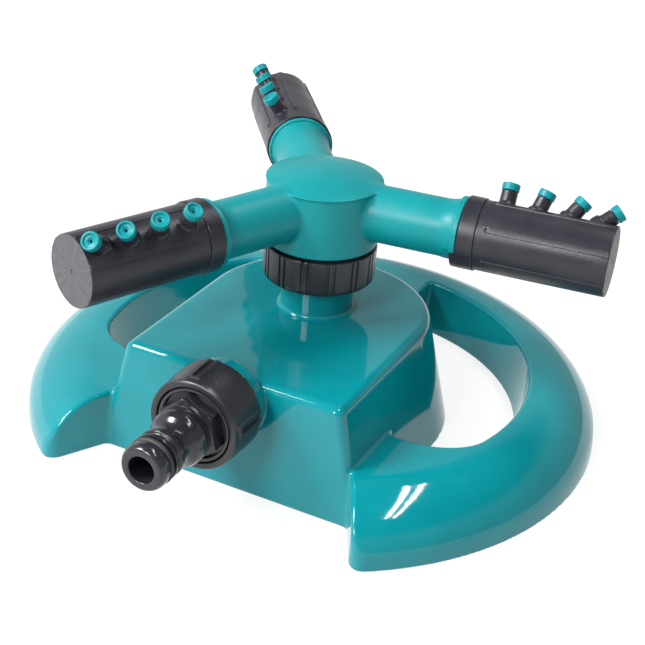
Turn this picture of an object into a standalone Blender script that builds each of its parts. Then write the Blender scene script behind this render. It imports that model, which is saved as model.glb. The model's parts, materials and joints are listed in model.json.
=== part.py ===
"""Three-arm rotary lawn sprinkler on a ring-shaped base, modelled piece by piece.

The floor is z = 0 and the model's origin is the middle of its floor rectangle.
The hose inlet points along -Y and the rotor turns about a vertical axis.
All lengths are in metres.
"""
import math

import bmesh
import bpy
from mathutils import Matrix, Vector

# Driving dimensions: gaps and walls
GAP = 0.0003
SHELL_WALL = 0.0024

# Base: a domed ring, whose centre lies a little behind the rotor axis, and a raised housing
RING_R = 0.115
RING_BACK = 0.0034
RING_H = 0.0227
RING_CREST_R = 0.0890
RING_RIM_R = 0.0862
RING_INNER_R = 0.0825
HOUSING_H = 0.0461
HOUSING_TOP_HALF = 0.0447
HOUSING_FOOT_HALF = 0.0560
HOUSING_TOP_FRONT = 0.0676
HOUSING_FOOT_FRONT = 0.0694
HOUSING_EDGE_R = 0.0030
HOUSING_CORNER_R = 0.0035
WEB_HALF = 0.0135
OPENING_FRONT_Y = -0.0368
OPENING_CORNER_R = 0.0150
OPENING_HEEL_R = 0.0070
OPENING_WALL_X = 0.0477
FOOT_START = (0.0512, -0.0690)
FOOT_OVERLAP = 0.0130
FOOT_SLOPE = math.radians(27.8)
FOOT_TIP_R = 0.0065

# Inlet: nose, union nut and threaded stub on one horizontal axis
INLET_Z = 0.0381
NOSE_TIP = 0.1252
NOSE_BORE_R = 0.0050
STUB_END = 0.0843
STUB_R = 0.0130
STUB_BORE_R = 0.0098
STUB_BORE_START = 0.0699
INLET_BOSS_R = 0.0153
INLET_BOSS_FRONT = 0.0728
INLET_BOSS_BACK = 0.0660
UNION_FRONT = 0.0928
UNION_BACK = 0.0749
UNION_R = 0.0180
UNION_RECESS_R = 0.0147
WASHER_T = 0.0020
NOSE_RING_R = 0.00795
NOSE_RING_BACK = 0.00645
NOSE_RING_THICK_R = 0.00105
# The nose from its tip backwards: ridge, O-ring groove, land, retaining groove, shoulder
NOSE_STEPS = (
    (0.0077, 0.0),
    (0.0087, 0.0014), (0.0087, 0.0044),
    (0.0066, 0.0047), (0.0066, 0.0082),
    (0.0089, 0.0085), (0.0089, 0.0135),
    (0.0077, 0.0157), (0.0077, 0.0177),
    (0.0104, 0.0201), (0.0107, 0.0247),
    (0.0099, 0.0284), (0.0099, 0.0324),
)

# Feed pipe under the housing, measured forwards from the rotor axis
PIPE_Z = HOUSING_H - 0.0153
PIPE_R = 0.0085
PIPE_BORE_R = 0.0060
PIPE_MOUTH = 0.0629
PIPE_SEAT = 0.0642
PORT_END = 0.0712
SOCKET_START = 0.0557
SOCKET_END = 0.0667
PLATE_HALF = 0.0200
PLATE_TOP = HOUSING_H - SHELL_WALL - 0.0004
PLATE_T = 0.0046
PLATE_SEAL_R = 0.0097
SCREW_SPREAD = 0.0158
SCREW_R = 0.0014
SCREW_HEAD_R = 0.0028

# Riser and rotor, each stacked on the one below
RISER_BOSS_R = 0.0142
RISER_BOSS_TOP = HOUSING_H + 0.0130
RISER_SHANK_R = 0.0090
RISER_BORE_R = 0.0055
RISER_FLANGE_R = 0.0150
NUT_R = 0.0222
NUT_HOLE_R = 0.0096
NUT_FOOT = RISER_BOSS_TOP + 0.0006
NUT_TOP = NUT_FOOT + 0.0141
NUT_FLOOR = 0.0030
HUB_FOOT = NUT_TOP + 0.0015
HUB_R = 0.0221
HUB_RIM_R = 0.0226
HUB_RIM_Z = HUB_FOOT + 0.0243
HUB_TOP = HUB_RIM_Z + 0.0038
SKIRT_R = 0.0181
SKIRT_FOOT = HUB_FOOT - 0.0111
SOCKET_R = 0.0154
SOCKET_TOP = HUB_FOOT - 0.0061
NECK_R = 0.0079
CHAMBER_R = 0.0080

# Arms and spray heads, measured along an arm from the rotor axis
ARM_Z = HUB_FOOT + 0.0143
ARM_COUNT = 3
FIRST_ARM = math.radians(7.0)
ARM_R = 0.0109
ARM_BORE_R = 0.0062
FLANGE_R = 0.0130
FLANGE_START = 0.0533
FLANGE_END = 0.0555
SPIGOT_R = 0.0094
SPIGOT_END = 0.0735
SEAL_PLACE = 0.0682
SEAL_GROOVE_R = 0.0078
SEAL_GROOVE_HALF = 0.0013
SEAL_THICK_R = 0.00075
HEAD_START = FLANGE_END + GAP
COLLAR_END = 0.0621
HEAD_END = 0.1110
HEAD_END_T = 0.0026
COLLAR_R = 0.0137
HEAD_R = 0.0132
HEAD_BORE_R = SPIGOT_R + GAP
HEAD_TILT = math.radians(34.0)
TAB_HALF = math.radians(36.0)
TAB_START = FLANGE_END - 0.0019
TAB_INNER_R = 0.0115
NOTCH_INNER_R = 0.0112
HEAD_TRAVEL = math.radians(34.0)
NOTCH_MARGIN = math.radians(1.5)

# Spouts fan out towards the end of the head, and each holds a nozzle cap
SPOUT_COUNT = 4
SPOUT_FIRST = 0.0688
SPOUT_PITCH = 0.0120
SPOUT_FAN = math.radians(15.0)
SPOUT_R = 0.0031
SPOUT_BORE_R = 0.0020
SPOUT_LENGTH = 0.0046
CAP_R = 0.00335
CAP_H = 0.0028
CAP_PLUG = 0.0030
CAP_HOLE_R = 0.0005

# The origin sits midway between the nose's tip and the back of the ring
ROTOR_Y = (NOSE_TIP - RING_BACK - RING_R) / 2

# Cutters run past the faces they open, and those of the ring reach into the housing
OVERCUT = 0.002
CUTTER_TOP = 0.030

TEAL = (0.004, 0.29, 0.30)
BLACK = (0.018, 0.018, 0.022)
RUBBER = (0.010, 0.010, 0.010)
NATURAL = (0.72, 0.70, 0.64)
STEEL = (0.55, 0.55, 0.56)


# Scene helpers

def clear_scene():
    """Remove every object that the start-up file holds."""
    for obj in list(bpy.data.objects):
        bpy.data.objects.remove(obj, do_unlink=True)


def new_collection(name):
    """Make a collection under the scene's own."""
    collection = bpy.data.collections.new(name)
    bpy.context.scene.collection.children.link(collection)
    return collection


def pivot(name, location, parent=None, turn=None):
    """Add an empty that marks an axis or a reference point."""
    empty = bpy.data.objects.new(name, None)
    empty.empty_display_size = 0.01
    empty.location = location
    empty.parent = parent
    if turn is not None:
        empty.rotation_euler = turn.to_euler()
    PARTS.objects.link(empty)
    return empty


def finish_material(obj, colour, roughness, metallic):
    """Give an object its own Principled material."""
    material = bpy.data.materials.new(obj.name)
    material.use_nodes = True
    shader = material.node_tree.nodes["Principled BSDF"]
    shader.inputs["Base Color"].default_value = (*colour, 1.0)
    shader.inputs["Roughness"].default_value = roughness
    shader.inputs["Metallic"].default_value = metallic
    obj.data.materials.append(material)


def place(obj, parent, cutter):
    """Link an object as a part, or as a hidden helper shape."""
    obj.parent = parent
    if cutter:
        HELPERS.objects.link(obj)
        obj.hide_render = True
        obj.display_type = "WIRE"
    else:
        PARTS.objects.link(obj)


def turned(name, profile, parent, steps=32, cutter=False):
    """Spin a closed profile of (radius, height) points about the local Z axis.

    The profile runs down its outer side and up its inner side.
    """
    mesh = bpy.data.meshes.new(name)
    points = [(radius, 0.0, height) for radius, height in profile]
    solid = profile[0][0] == 0.0 and profile[-1][0] == 0.0
    edges = [(i, i + 1) for i in range(len(points) - 1)]
    if not solid:
        edges.append((len(points) - 1, 0))
    mesh.from_pydata(points, edges, [])
    obj = bpy.data.objects.new(name, mesh)
    place(obj, parent, cutter)
    spin = obj.modifiers.new("spin", "SCREW")
    spin.steps = steps
    spin.render_steps = steps
    spin.use_merge_vertices = True
    spin.merge_threshold = 0.00001
    return obj


def rod(name, radius, low, high, parent, steps=24, cutter=True):
    """A plain cylinder along the local Z axis."""
    profile = [(0.0, high), (radius, high), (radius, low), (0.0, low)]
    return turned(name, profile, parent, steps, cutter)


def loft(name, sections, parent, cutter=True):
    """Skin matching closed outlines from the lowest to the highest."""
    shape = bmesh.new()
    rings = []
    for section in sections:
        rings.append([shape.verts.new(point) for point in section])
    count = len(rings[0])
    for low, high in zip(rings, rings[1:]):
        for i in range(count):
            j = (i + 1) % count
            shape.faces.new((low[i], low[j], high[j], high[i]))
    shape.faces.new(tuple(reversed(rings[0])))
    shape.faces.new(tuple(rings[-1]))
    bmesh.ops.recalc_face_normals(shape, faces=shape.faces)
    mesh = bpy.data.meshes.new(name)
    shape.to_mesh(mesh)
    shape.free()
    obj = bpy.data.objects.new(name, mesh)
    place(obj, parent, cutter)
    return obj


def box(name, low, high, parent, cutter=True):
    """A block between two corners."""
    outline = [(low[0], low[1]), (high[0], low[1]), (high[0], high[1]), (low[0], high[1])]
    sections = [[(x, y, z) for x, y in outline] for z in (low[2], high[2])]
    return loft(name, sections, parent, cutter)


def combine(obj, other, operation):
    """Stack a Boolean modifier on an object."""
    step = obj.modifiers.new(other.name, "BOOLEAN")
    step.operation = operation
    step.object = other
    step.solver = "EXACT"


def combine_all(obj, others, operation, name):
    """Stack one Boolean modifier that takes a whole group of shapes at once."""
    group = bpy.data.collections.new(name)
    HELPERS.children.link(group)
    for other in others:
        HELPERS.objects.unlink(other)
        group.objects.link(other)
    step = obj.modifiers.new(name, "BOOLEAN")
    step.operation = operation
    step.operand_type = "COLLECTION"
    step.collection = group
    step.solver = "EXACT"


def arc(centre, radius, start, end, count):
    """Points on a circular arc in plan, both ends included."""
    points = []
    for i in range(count + 1):
        angle = start + (end - start) * i / count
        points.append((centre[0] + radius * math.cos(angle), centre[1] + radius * math.sin(angle)))
    return points


def mirrored(points):
    """The same outline on the other side of the plane x = 0, still counter-clockwise."""
    return [(-x, y) for x, y in reversed(points)]


def at_height(outline, height):
    """Lift a plan outline to a height."""
    return [(x, y, height) for x, y in outline]


# Base shell

def housing_outline(inset, height):
    """The housing's plan at a height: a drafted box with a half-round back."""
    rise = height / HOUSING_H
    half = HOUSING_FOOT_HALF + (HOUSING_TOP_HALF - HOUSING_FOOT_HALF) * rise - inset
    front = HOUSING_FOOT_FRONT + (HOUSING_TOP_FRONT - HOUSING_FOOT_FRONT) * rise - inset
    corner = max(HOUSING_CORNER_R - inset, 0.0010)
    left = (-half + corner, -front + corner)
    right = (half - corner, -front + corner)
    points = arc(left, corner, math.pi, 1.5 * math.pi, 3)
    points += arc(right, corner, 1.5 * math.pi, 2 * math.pi, 3)
    points += arc((0.0, 0.0), half, 0.0, math.pi, 14)
    return points


def housing_block(name, inset, low, high, edge_r):
    """The housing as a solid, with a rounded top edge where edge_r is set."""
    heights = [(low, 0.0), (high - edge_r, 0.0)]
    for turn in (45, 90):
        angle = math.radians(turn)
        lift = high - edge_r + edge_r * math.sin(angle)
        heights.append((lift, edge_r * (1 - math.cos(angle))))
    if edge_r == 0.0:
        heights = [(low, 0.0), (high, 0.0)]
    sections = [at_height(housing_outline(inset + tuck, z), z) for z, tuck in heights]
    return loft(name, sections, BASE)


def dome_profile(inset, foot, steps):
    """Half section of the domed ring, flat in the middle and elliptic outside."""
    reach = RING_R - RING_CREST_R - inset
    height = RING_H - inset
    points = [(0.0, height)]
    for i in range(steps + 1):
        angle = math.radians(90 - 90 * i / steps)
        points.append((RING_CREST_R + reach * math.cos(angle), height * math.sin(angle)))
    points[-1] = (RING_CREST_R + reach, 0.0)
    if foot < 0.0:
        points.append((RING_CREST_R + reach, foot))
    points.append((0.0, foot))
    return points


def opening_outline(grow, ring_r):
    """Plan of the right-hand opening between the housing and the ring."""
    outer = ring_r + grow
    front = OPENING_FRONT_Y - grow
    corner = OPENING_CORNER_R + grow
    middle_y = front + corner
    rise = middle_y - RING_BACK
    middle_x = math.sqrt((outer - corner) ** 2 - rise ** 2)
    turn = math.atan2(rise, middle_x)
    heel = OPENING_HEEL_R + grow
    wall = OPENING_WALL_X - grow
    web = WEB_HALF - grow
    back = math.asin(web / outer)
    points = [(HOUSING_TOP_HALF - 0.006, front + heel)]
    points += arc((wall + heel, front + heel), heel, math.pi, 1.5 * math.pi, 4)
    points += arc((middle_x, middle_y), corner, -math.pi / 2, turn, 5)
    points += arc((0.0, RING_BACK), outer, turn, math.pi / 2 - back, 11)[1:]
    points.append((web, HOUSING_TOP_HALF - 0.010))
    return points


def opening_cutter(name, grow, mirror, low, high):
    """A drafted block the shape of one opening, wider at the top."""
    sections = []
    for height in (low, high):
        ring_r = RING_INNER_R + (RING_RIM_R - RING_INNER_R) * height / RING_H
        outline = opening_outline(grow, ring_r)
        if mirror:
            outline = mirrored(outline)
        sections.append(at_height(outline, height))
    return loft(name, sections, BASE)


def front_cutter(name, grow, low, high):
    """The gap between the two front feet, with their rounded tips."""
    along = Vector((math.sin(FOOT_SLOPE), -math.cos(FOOT_SLOPE)))
    across = Vector((math.cos(FOOT_SLOPE), math.sin(FOOT_SLOPE)))
    start = Vector(FOOT_START) + across * grow
    ring_centre = Vector((0.0, RING_BACK))
    tip_r = max(FOOT_TIP_R - grow, 0.001)
    hub = start + across * tip_r - ring_centre
    reach = RING_R - grow - tip_r
    run = -hub.dot(along) + math.sqrt(hub.dot(along) ** 2 - hub.dot(hub) + reach ** 2)
    outwards = hub + along * run
    centre = outwards + ring_centre
    outward = math.atan2(outwards.y, outwards.x)
    inward = math.atan2(-across.y, -across.x)
    side = [tuple(start - along * FOOT_OVERLAP), tuple(start)]
    side += arc(centre, tip_r, inward, outward, 6)
    side.append((centre.x * 1.5, centre.y * 1.5))
    outline = [(-x, y) for x, y in side] + list(reversed(side))
    sections = [at_height(outline, z) for z in (low, high)]
    return loft(name, sections, BASE)


def screw_places():
    """Plan positions of the four screws that hold the feed pipe's plate."""
    spread = SCREW_SPREAD
    return [(spread, spread), (-spread, spread), (-spread, -spread), (spread, -spread)]


def base_cavity():
    """The hollow inside the base, open at the floor."""
    deep = -0.006
    cavity = turned("base_cavity", dome_profile(SHELL_WALL, deep, 4), RING, 40, True)
    for side, mirror in (("right", False), ("left", True)):
        wall = opening_cutter("cavity_wall_" + side, SHELL_WALL, mirror, deep - OVERCUT, CUTTER_TOP)
        combine(cavity, wall, "DIFFERENCE")
    combine(cavity, front_cutter("cavity_wall_front", SHELL_WALL, deep - OVERCUT, CUTTER_TOP), "DIFFERENCE")
    room_top = HOUSING_H - SHELL_WALL
    room = housing_block("cavity_room", SHELL_WALL, deep + 0.001, room_top, 0.0)
    combine(cavity, room, "UNION")
    axis = pipe_axis("pipe_socket_axis")
    socket = rod("pipe_socket", PIPE_R + 0.0028, SOCKET_START, SOCKET_END, axis, 20)
    combine(cavity, socket, "DIFFERENCE")
    return cavity


def riser_boss():
    """The round post on the housing that carries the rotor, flared at its foot."""
    flare = 0.0015
    profile = [(0.0, RISER_BOSS_TOP), (RISER_BOSS_R, RISER_BOSS_TOP)]
    profile += [(RISER_BOSS_R, HOUSING_H + flare), (RISER_BOSS_R + 0.3 * flare, HOUSING_H + 0.3 * flare)]
    profile += [(RISER_BOSS_R + flare, HOUSING_H), (RISER_BOSS_R + flare, HOUSING_H - 0.001)]
    profile += [(0.0, HOUSING_H - 0.001)]
    return turned("riser_boss", profile, BASE, 24, True)


def inlet_boss():
    """The collar on the front wall and the threaded stub that stands out of it."""
    profile = [(0.0, STUB_END), (STUB_R, STUB_END), (STUB_R, INLET_BOSS_FRONT)]
    profile += [(INLET_BOSS_R, INLET_BOSS_FRONT), (INLET_BOSS_R, INLET_BOSS_BACK), (0.0, INLET_BOSS_BACK)]
    return turned("inlet_boss", profile, INLET, 24, True)


def pipe_port(axis):
    """The socket for the feed pipe and the port through the front wall behind it."""
    inside = SOCKET_START - 0.008
    profile = [(0.0, PORT_END), (PIPE_BORE_R, PORT_END), (PIPE_BORE_R, PIPE_SEAT)]
    profile += [(PIPE_R + GAP, PIPE_SEAT), (PIPE_R + GAP, inside), (0.0, inside)]
    return turned("pipe_port", profile, axis, 20, True)


def riser_passage():
    """The seat for the riser in its boss and the port down through the ceiling."""
    seat = HOUSING_H - GAP
    above = RISER_BOSS_TOP + 0.010
    below = PLATE_TOP - 0.010
    profile = [(0.0, above), (RISER_SHANK_R + GAP, above), (RISER_SHANK_R + GAP, seat)]
    profile += [(PIPE_BORE_R, seat), (PIPE_BORE_R, below), (0.0, below)]
    return turned("riser_passage", profile, BASE, 20, True)


def base_shell():
    """One moulding: ring, feet, housing, riser boss and threaded inlet stub."""
    shell = turned("base_shell", dome_profile(0.0, -0.003, 7), RING, 48)
    gaps = [
        opening_cutter("opening_right", 0.0, False, -0.004, CUTTER_TOP),
        opening_cutter("opening_left", 0.0, True, -0.004, CUTTER_TOP),
        front_cutter("front_gap", 0.0, -0.004, CUTTER_TOP),
    ]
    combine_all(shell, gaps, "DIFFERENCE", "gaps")
    raised = [housing_block("housing", 0.0, -0.002, HOUSING_H, HOUSING_EDGE_R), inlet_boss(), riser_boss()]
    combine_all(shell, raised, "UNION", "raised_parts")
    bores = [base_cavity(), pipe_port(pipe_axis("pipe_port_axis")), riser_passage()]
    bores.append(box("floor_trim", (-0.13, -0.13, -0.02), (0.13, 0.13, 0.0), BASE))
    bores.append(rod("stub_bore", STUB_BORE_R, STUB_BORE_START, STUB_END + OVERCUT, INLET, 20))
    for i, (x, y) in enumerate(screw_places(), 1):
        post = pivot("screw_post_axis_%d" % i, (x, y, 0.0), BASE)
        low = PLATE_TOP - 0.010
        bores.append(rod("screw_hole_%d" % i, SCREW_R + 2 * GAP, low, HOUSING_H - 0.0010, post, 6))
    combine_all(shell, bores, "DIFFERENCE", "hollows")
    finish_material(shell, TEAL, 0.22, 0.0)
    return shell


# Feed pipe inside the base

def pipe_axis(name):
    """A pivot whose Z axis runs along the feed pipe, towards the inlet."""
    return pivot(name, (0.0, 0.0, PIPE_Z), BASE, Matrix.Rotation(math.pi / 2, 3, "X"))


def feed_elbow():
    """The pipe from the inlet to the riser, with a plate screwed to the housing's ceiling."""
    back = -PIPE_R + 0.0030
    axis = pipe_axis("feed_axis")
    profile = [(0.0, PIPE_MOUTH), (PIPE_R, PIPE_MOUTH), (PIPE_R, back), (0.0, back)]
    elbow = turned("feed_elbow", profile, axis, 20)
    column = rod("feed_column", PIPE_R + 0.0005, PIPE_Z - 0.0065, PLATE_TOP - 0.001, BASE, 20)
    low = (-PLATE_HALF, -PLATE_HALF, PLATE_TOP - PLATE_T)
    high = (PLATE_HALF, PLATE_HALF, PLATE_TOP)
    combine_all(elbow, [column, box("feed_plate", low, high, BASE)], "UNION", "feed_body")
    outer = PLATE_SEAL_R + 0.0015
    inner = PLATE_SEAL_R - 0.0015
    floor = PLATE_TOP - 0.0020
    groove = [(outer, PLATE_TOP + OVERCUT), (outer, floor), (inner, floor), (inner, PLATE_TOP + OVERCUT)]
    cuts = [turned("feed_groove", groove, BASE, 20, True)]
    cuts.append(rod("feed_bore", PIPE_BORE_R, -PIPE_BORE_R, PIPE_MOUTH + OVERCUT, axis, 16))
    cuts.append(rod("feed_rise", PIPE_BORE_R - 0.0002, PIPE_Z, PLATE_TOP + OVERCUT, BASE, 16))
    for i, (x, y) in enumerate(screw_places(), 1):
        spot = pivot("plate_hole_axis_%d" % i, (x, y, 0.0), BASE)
        low = PLATE_TOP - PLATE_T - OVERCUT
        cuts.append(rod("plate_hole_%d" % i, SCREW_R + 2 * GAP, low, PLATE_TOP + OVERCUT, spot, 6))
    combine_all(elbow, cuts, "DIFFERENCE", "feed_bores")
    finish_material(elbow, BLACK, 0.45, 0.0)


def plate_screws():
    """Four pan-head screws from below, through the plate into the housing."""
    head_top = PLATE_TOP - PLATE_T - GAP
    head_low = head_top - 0.0019
    for i, (x, y) in enumerate(screw_places(), 1):
        spot = pivot("plate_screw_axis_%d" % i, (x, y, 0.0), BASE)
        profile = [(0.0, HOUSING_H - 0.0014), (SCREW_R, HOUSING_H - 0.0018), (SCREW_R, head_top)]
        profile += [(SCREW_HEAD_R, head_top), (SCREW_HEAD_R, head_top - 0.0010)]
        profile += [(SCREW_HEAD_R - 0.0008, head_low), (0.0, head_low)]
        screw = turned("plate_screw_%d" % i, profile, spot, 8)
        finish_material(screw, STEEL, 0.3, 1.0)


def o_ring(name, ring_r, thick_r, height, parent, major=20):
    """A round-section sealing ring about the local Z axis."""
    sides = 6
    profile = []
    for i in range(sides):
        angle = math.radians(60 - 360 * i / sides)
        profile.append((ring_r + thick_r * math.cos(angle), height + thick_r * math.sin(angle)))
    ring = turned(name, profile, parent, major)
    finish_material(ring, RUBBER, 0.6, 0.0)
    return ring


def flat_ring(name, inner, outer, low, high, parent, steps=20):
    """A flat washer about the local Z axis."""
    profile = [(inner, high), (outer, high), (outer, low), (inner, low)]
    return turned(name, profile, parent, steps)


def feed_seals():
    """The seal over the plate, and the one around the pipe's mouth."""
    o_ring("plate_seal", PLATE_SEAL_R, 0.0010, PLATE_TOP - 0.0008, BASE)
    axis = pipe_axis("mouth_seal_axis")
    low = PIPE_MOUTH + GAP
    high = PIPE_SEAT - GAP
    gasket = flat_ring("mouth_seal", PIPE_BORE_R + 0.0002, PIPE_R - 0.0002, low, high, axis, 20)
    finish_material(gasket, RUBBER, 0.6, 0.0)


# Inlet

def union_nut():
    """The hand nut that clamps the hose nose onto the stub."""
    thread = STUB_R + GAP
    step = UNION_FRONT - 0.0058
    profile = [(UNION_RECESS_R, UNION_FRONT), (UNION_R - 0.0010, UNION_FRONT)]
    profile += [(UNION_R - 0.0004, UNION_FRONT - 0.0012), (UNION_R, UNION_BACK + 0.0080)]
    profile += [(UNION_R + 0.0004, UNION_BACK + 0.0015), (UNION_R - 0.0011, UNION_BACK)]
    profile += [(thread, UNION_BACK), (thread, step), (UNION_RECESS_R, step)]
    nut = turned("union_nut", profile, UNION, 28)
    finish_material(nut, BLACK, 0.38, 0.0)


def hose_adapter():
    """The quick-connector nose, with a flange that the union nut holds."""
    flange = UNION_FRONT - 0.0005
    flange_r = UNION_RECESS_R - 0.0005
    seat = STUB_END + WASHER_T + 2 * GAP
    profile = [(NOSE_BORE_R, NOSE_TIP)]
    profile += [(radius, NOSE_TIP - back) for radius, back in NOSE_STEPS]
    profile += [(flange_r - 0.0019, flange), (flange_r, flange), (flange_r, flange - 0.0050)]
    profile += [(STUB_R - GAP, flange - 0.0050), (STUB_R - GAP, seat), (NOSE_BORE_R + 0.0015, seat)]
    adapter = turned("hose_adapter", profile, INLET, 20)
    finish_material(adapter, BLACK, 0.25, 0.0)


def inlet_seals():
    """The O-ring on the nose and the flat washer against the stub."""
    o_ring("nose_ring", NOSE_RING_R, NOSE_RING_THICK_R, NOSE_TIP - NOSE_RING_BACK, INLET, 20)
    low = STUB_END + GAP
    washer = flat_ring("inlet_washer", STUB_BORE_R + 0.0002, STUB_R - 0.0006, low, low + WASHER_T, INLET)
    finish_material(washer, RUBBER, 0.6, 0.0)


# Riser and rotor

def riser_spigot():
    """The fixed tube that the rotor turns on, with the flange that carries it."""
    foot = HOUSING_H + 0.0001
    flange_low = NUT_FOOT + NUT_FLOOR + 0.0013
    flange_high = flange_low + 0.0030
    top = SOCKET_TOP + 0.0105
    neck = NECK_R - 0.0005
    profile = [(RISER_BORE_R, top), (neck - 0.0004, top), (neck, top - 0.0006), (neck, flange_high)]
    profile += [(RISER_FLANGE_R, flange_high), (RISER_FLANGE_R, flange_low), (RISER_SHANK_R, flange_low)]
    profile += [(RISER_SHANK_R, foot), (RISER_BORE_R, foot)]
    spigot = turned("riser_spigot", profile, BASE, 24)
    finish_material(spigot, NATURAL, 0.4, 0.0)


def rotor_washers():
    """Slip washers above and below the riser's flange, and the rotor's seal."""
    nut_inside = NUT_FOOT + NUT_FLOOR
    outer = RISER_FLANGE_R
    low = nut_inside + GAP
    lower = flat_ring("lower_slip_washer", RISER_SHANK_R + 0.0005, outer, low, low + 0.0007, ROTOR)
    finish_material(lower, NATURAL, 0.35, 0.0)
    high = SOCKET_TOP - GAP
    upper = flat_ring("upper_slip_washer", NECK_R - 0.0001, outer, high - 0.0014, high, ROTOR)
    finish_material(upper, NATURAL, 0.35, 0.0)
    low = SOCKET_TOP + 0.0019
    seal = flat_ring("rotor_seal", NECK_R - 0.0002, 0.0100, low, low + 0.0021, ROTOR)
    finish_material(seal, RUBBER, 0.6, 0.0)


def rotor_nut():
    """The ribbed ring nut that traps the riser's flange inside the rotor."""
    inside = NUT_FOOT + NUT_FLOOR
    profile = [(SKIRT_R + GAP, NUT_TOP), (NUT_R - 0.0006, NUT_TOP), (NUT_R, NUT_TOP - 0.0006)]
    profile += [(NUT_R - 0.0004, NUT_FOOT + 0.0012), (NUT_R - 0.0016, NUT_FOOT), (NUT_HOLE_R, NUT_FOOT)]
    profile += [(NUT_HOLE_R, inside), (SKIRT_R + GAP, inside)]
    nut = turned("rotor_nut", profile, ROTOR, 28)
    finish_material(nut, BLACK, 0.35, 0.0)


def arm_direction(index):
    """The turn that lays the local Z axis along an arm and the local -X axis upwards."""
    bearing = FIRST_ARM + index * math.tau / ARM_COUNT
    return Matrix.Rotation(bearing, 3, "Z") @ Matrix.Rotation(math.pi / 2, 3, "Y")


def arm_axis(name, index, parent):
    """A pivot on an arm's own axis."""
    return pivot(name, (0.0, 0.0, ARM_Z), parent, arm_direction(index))


def sector(name, start, end, low, high, inner, outer, parent):
    """A wedge of a ring about the local Z axis; angles run from -X (up) towards Y."""
    count = 6
    sweep = [start + (end - start) * i / count for i in range(count + 1)]
    outline = [(-outer * math.cos(a), outer * math.sin(a)) for a in sweep]
    outline += [(-inner * math.cos(a), inner * math.sin(a)) for a in reversed(sweep)]
    return loft(name, [at_height(outline, z) for z in (low, high)], parent)


def hub_profile():
    """Outer half section of the rotor hub, from the domed top down to its skirt."""
    points = [(0.0, HUB_TOP)]
    sag = HUB_TOP - HUB_RIM_Z
    for share in (0.3, 0.6, 0.85):
        points.append((HUB_RIM_R * share, HUB_TOP - sag * share ** 2 * 0.8))
    points += [(HUB_RIM_R, HUB_RIM_Z), (HUB_R, HUB_RIM_Z - 0.0010), (HUB_R, HUB_FOOT)]
    points += [(SKIRT_R, HUB_FOOT), (SKIRT_R, SKIRT_FOOT), (0.0, SKIRT_FOOT)]
    return points


def arm_profile():
    """Outer half section of one arm, from its spigot's tip back to the rotor axis."""
    inside = 0.0100
    far = SEAL_PLACE + SEAL_GROOVE_HALF
    near = SEAL_PLACE - SEAL_GROOVE_HALF
    points = [(0.0, SPIGOT_END), (SPIGOT_R - 0.0006, SPIGOT_END), (SPIGOT_R, SPIGOT_END - 0.0010)]
    points += [(SPIGOT_R, far), (SEAL_GROOVE_R, far), (SEAL_GROOVE_R, near), (SPIGOT_R, near)]
    points += [(SPIGOT_R, FLANGE_END), (FLANGE_R, FLANGE_END), (FLANGE_R, FLANGE_START)]
    points += [(ARM_R + 0.0008, FLANGE_START - 0.0012), (ARM_R, FLANGE_START - 0.0032), (ARM_R, inside)]
    points += [(0.0, inside)]
    return points


def hub_passage():
    """The socket over the riser's flange, the seal's seat and the water chamber."""
    seal_low = SOCKET_TOP + 0.0016
    seal_high = SOCKET_TOP + 0.0043
    seal_r = 0.0103
    roof = ARM_Z + 0.0050
    below = SKIRT_FOOT - 0.003
    profile = [(0.0, roof), (CHAMBER_R, roof), (NECK_R, seal_high), (seal_r, seal_high)]
    profile += [(seal_r, seal_low), (NECK_R, seal_low), (NECK_R, SOCKET_TOP)]
    profile += [(SOCKET_R, SOCKET_TOP), (SOCKET_R, below), (0.0, below)]
    return turned("hub_passage", profile, ROTOR, 20, True)


def rotor_hub():
    """One moulding: hub, three hollow arms and their spigots."""
    hub = turned("rotor_hub", hub_profile(), ROTOR, 28)
    arms = []
    cuts = []
    tab = math.pi + HEAD_TILT
    first = tab - TAB_HALF - HEAD_TRAVEL - NOTCH_MARGIN
    last = tab + TAB_HALF + NOTCH_MARGIN
    for index in range(ARM_COUNT):
        tag = "%d" % (index + 1)
        axis = arm_axis("arm_axis_" + tag, index, ROTOR)
        arms.append(turned("arm_" + tag, arm_profile(), axis, 16, True))
        low = FLANGE_START - 0.0025
        high = FLANGE_END + 0.0013
        cuts.append(sector("notch_" + tag, first, last, low, high, NOTCH_INNER_R, FLANGE_R + 0.003, axis))
        cuts.append(rod("arm_bore_" + tag, ARM_BORE_R, 0.002, SPIGOT_END + OVERCUT, axis, 12))
    cuts.append(hub_passage())
    combine_all(hub, arms, "UNION", "arms")
    combine_all(hub, cuts, "DIFFERENCE", "hub_bores")
    finish_material(hub, TEAL, 0.25, 0.0)


# Spray heads

def head_profile():
    """Half section of one spray head: a closed-end sleeve with a collar."""
    mouth = HEAD_START
    return [
        (0.0, HEAD_END), (HEAD_R - 0.0004, HEAD_END), (HEAD_R, HEAD_END - 0.0004),
        (HEAD_R, COLLAR_END), (COLLAR_R, COLLAR_END), (COLLAR_R, mouth),
        (HEAD_BORE_R, mouth), (HEAD_BORE_R, HEAD_END - HEAD_END_T), (0.0, HEAD_END - HEAD_END_T),
    ]


def spout_axis(name, index, head):
    """A pivot on a spout's axis, at the head's own axis, with Z along the spout."""
    lean = index * SPOUT_FAN
    turn = Matrix.Rotation(-HEAD_TILT, 3, "Z") @ Matrix.Rotation(-math.pi / 2 + lean, 3, "Y")
    reach = HEAD_R / math.cos(lean)
    slip = HEAD_R * math.tan(lean)
    return pivot(name, (0.0, 0.0, SPOUT_FIRST + index * SPOUT_PITCH - slip), head, turn), reach


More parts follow.
